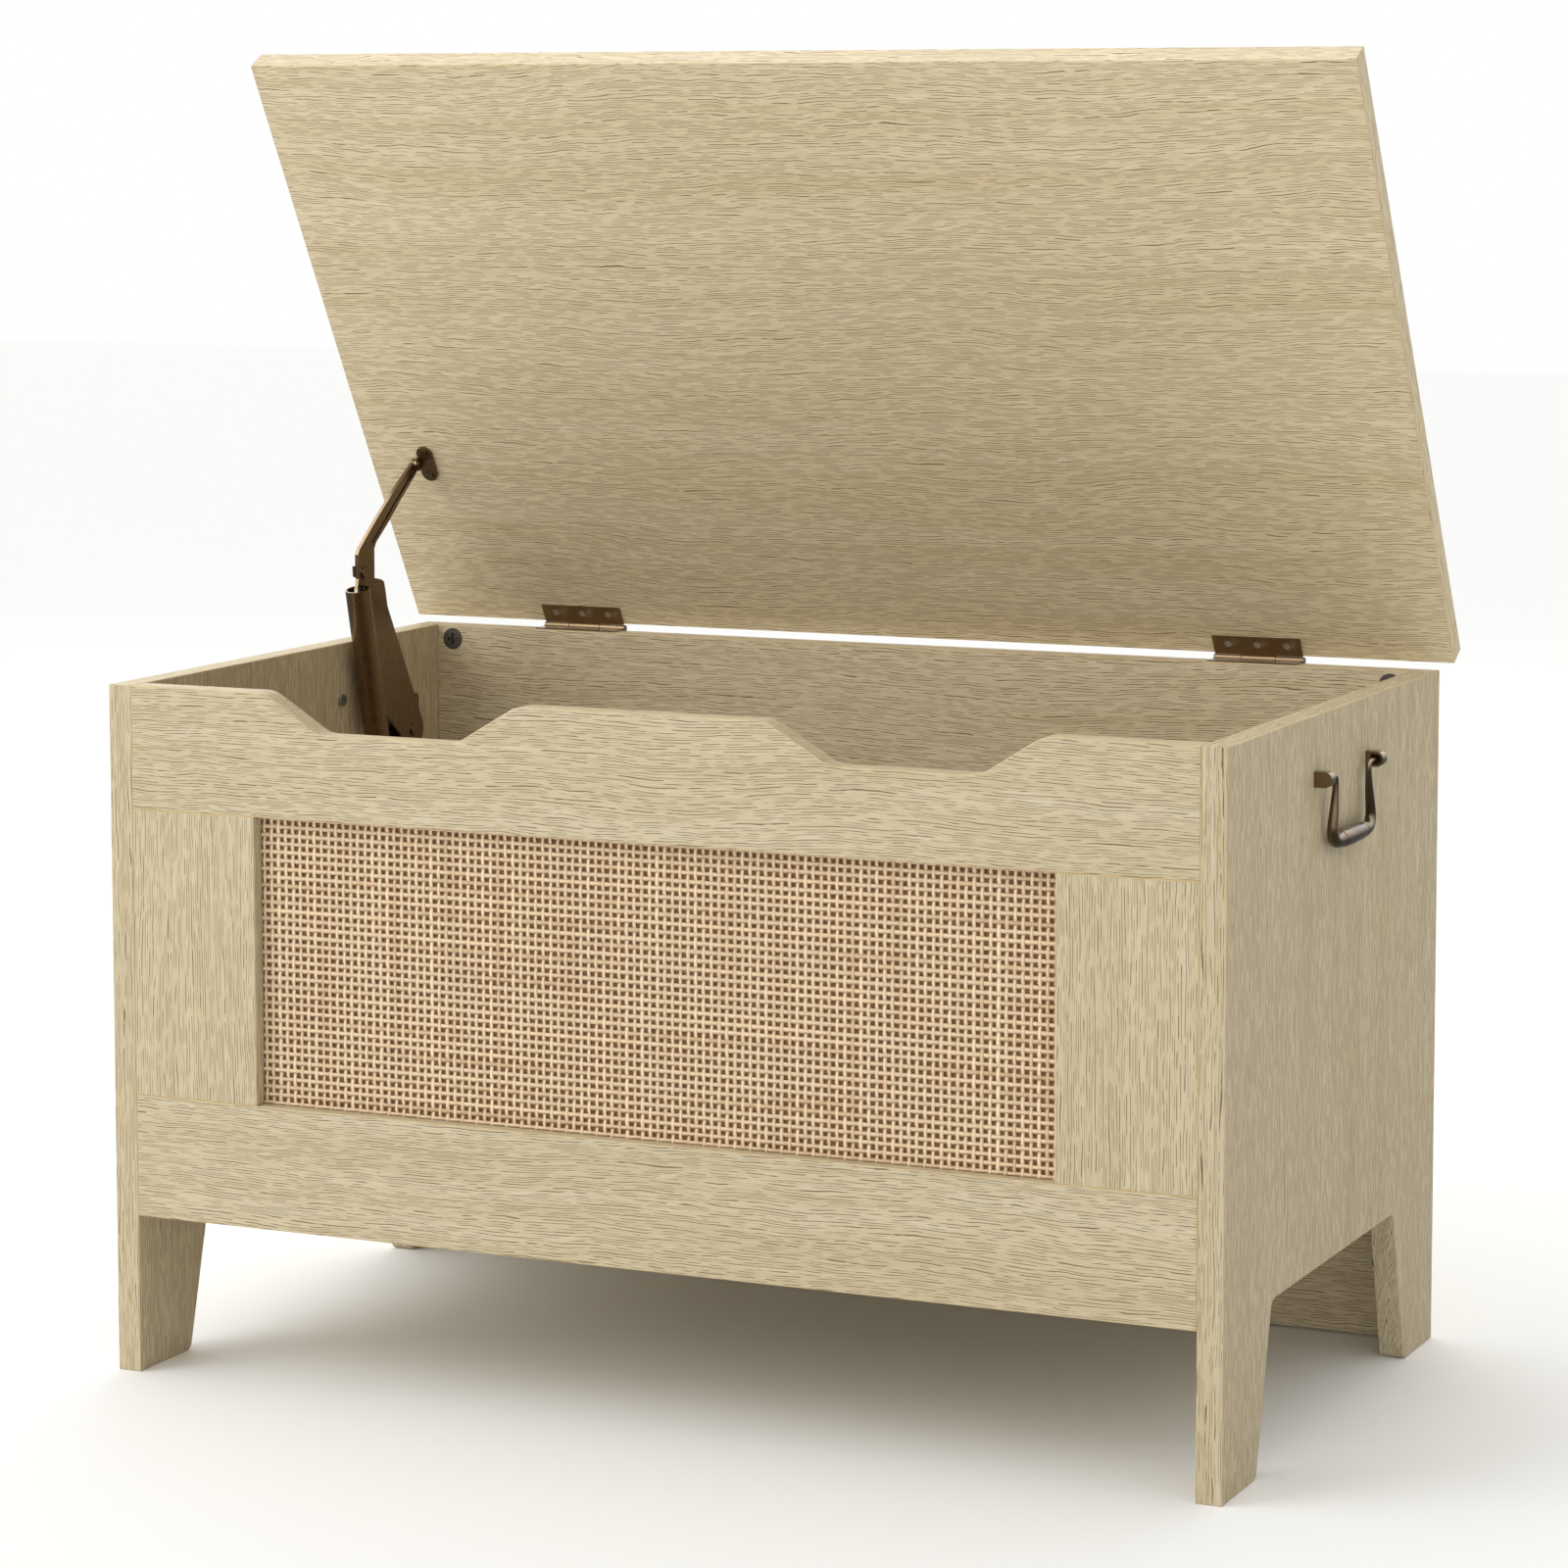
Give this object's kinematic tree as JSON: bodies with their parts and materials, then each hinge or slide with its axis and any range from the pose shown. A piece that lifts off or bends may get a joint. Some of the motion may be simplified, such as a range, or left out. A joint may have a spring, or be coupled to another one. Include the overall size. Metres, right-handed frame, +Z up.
{
  "type": "toy box",
  "caption": "Low wooden storage chest with a woven rattan front, a hinged lid held open by a spring stay, finger scallops and a hanging bail handle on each side.",
  "frame": {"origin": "on the floor, in the middle of the footprint that the box and its open lid cover", "axes": "+Z up, -Y the front with the rattan panel, +X the right-hand side seen from the front"},
  "size_m": [0.7582, 0.427, 0.827],
  "materials": {
    "oak_board": "matt printed light oak melamine, fine raised grain",
    "backing_board": "dark stained hardboard",
    "rattan": "natural woven cane, dry and matt",
    "strip_wood": "planed softwood",
    "dowel_wood": "turned beech, unfinished",
    "screw_steel": "zinc plated",
    "cam_zinc": "die-cast zinc alloy, dull",
    "bronze": "antique bronze plating, satin, rubbed lighter on edges",
    "spring_steel": "oiled spring steel"
  },
  "bodies": {
    "carcass": {"left_side_panel": "oak_board", "right_side_panel": "oak_board", "back_panel": "oak_board", "bottom_panel": "oak_board", "front_top_rail": "oak_board", "front_bottom_rail": "oak_board", "front_left_stile": "oak_board", "front_right_stile": "oak_board", "rattan_backing_board": "backing_board", "rattan_webbing": "rattan", "retaining_strips": "strip_wood", "strip_screws": "screw_steel", "cam_discs": "cam_zinc", "cam_bolts": "screw_steel", "dowels": "dowel_wood", "bottom_screws": "screw_steel", "left_hinge_lower_leaf": "bronze", "left_hinge_pin": "bronze", "right_hinge_lower_leaf": "bronze", "right_hinge_pin": "bronze", "hinge_screws_back_panel": "screw_steel", "stay_base_plate": "bronze", "stay_base_screws": "bronze", "stay_base_pin": "bronze", "left_handle_front_post": "bronze", "left_handle_rear_post": "bronze", "left_handle_bolts": "screw_steel", "right_handle_front_post": "bronze", "right_handle_rear_post": "bronze", "right_handle_bolts": "screw_steel"},
    "lid_assembly": {"lid": "oak_board", "left_hinge_upper_leaf": "bronze", "right_hinge_upper_leaf": "bronze", "hinge_screws_lid": "screw_steel", "stay_lid_bracket": "bronze", "stay_bracket_screws": "bronze", "stay_lid_rivet": "bronze"},
    "stay_tube": {"stay_housing": "bronze", "stay_spring_seat": "bronze", "stay_spring": "spring_steel", "stay_knee_rivet": "bronze"},
    "stay_crank_arm": {"stay_arm": "bronze"},
    "stay_pull_rod": {"stay_rod": "spring_steel"},
    "left_bail": {"left_handle_bail": "bronze"},
    "right_bail": {"right_handle_bail": "bronze"}
  },
  "joints": [
    {"name": "lid_hinge", "type": "hinge", "parent": "carcass", "child": "lid_assembly", "pos_m": [0, 0.201, 0.436], "axis": [1, 0, 0], "range_deg": [0, 60]},
    {"name": "stay_base_pivot", "type": "hinge", "parent": "carcass", "child": "stay_tube", "pos_m": [-0.3409, 0.1286, 0.3678], "axis": [1, 0, 0], "range_deg": [0, 60]},
    {"name": "stay_knee_pivot", "type": "hinge", "parent": "stay_tube", "child": "stay_crank_arm", "pos_m": [-0.3409, 0.058, 0.482], "axis": [1, 0, 0], "range_deg": [-60, 0]},
    {"name": "stay_rod_slide", "type": "slide", "parent": "stay_tube", "child": "stay_pull_rod", "axis": [0, -0.2334, 0.9724], "range_m": [0, 0.01352], "deforming": ["stay_spring"]},
    {"name": "left_bail_swing", "type": "hinge", "parent": "carcass", "child": "left_bail", "pos_m": [-0.3734, -0.004, 0.397], "axis": [0, 1, 0], "range_deg": [0, 100]},
    {"name": "right_bail_swing", "type": "hinge", "parent": "carcass", "child": "right_bail", "pos_m": [0.3734, -0.004, 0.397], "axis": [0, -1, 0], "range_deg": [0, 100]}
  ],
  "couplings": [
    {"joint": "stay_base_pivot", "follows": "lid_hinge", "ratio": 1},
    {"joint": "stay_knee_pivot", "follows": "lid_hinge", "ratio": -1},
    {"joint": "stay_rod_slide", "follows": "lid_hinge", "m_per_rad": 0.01291}
  ]
}
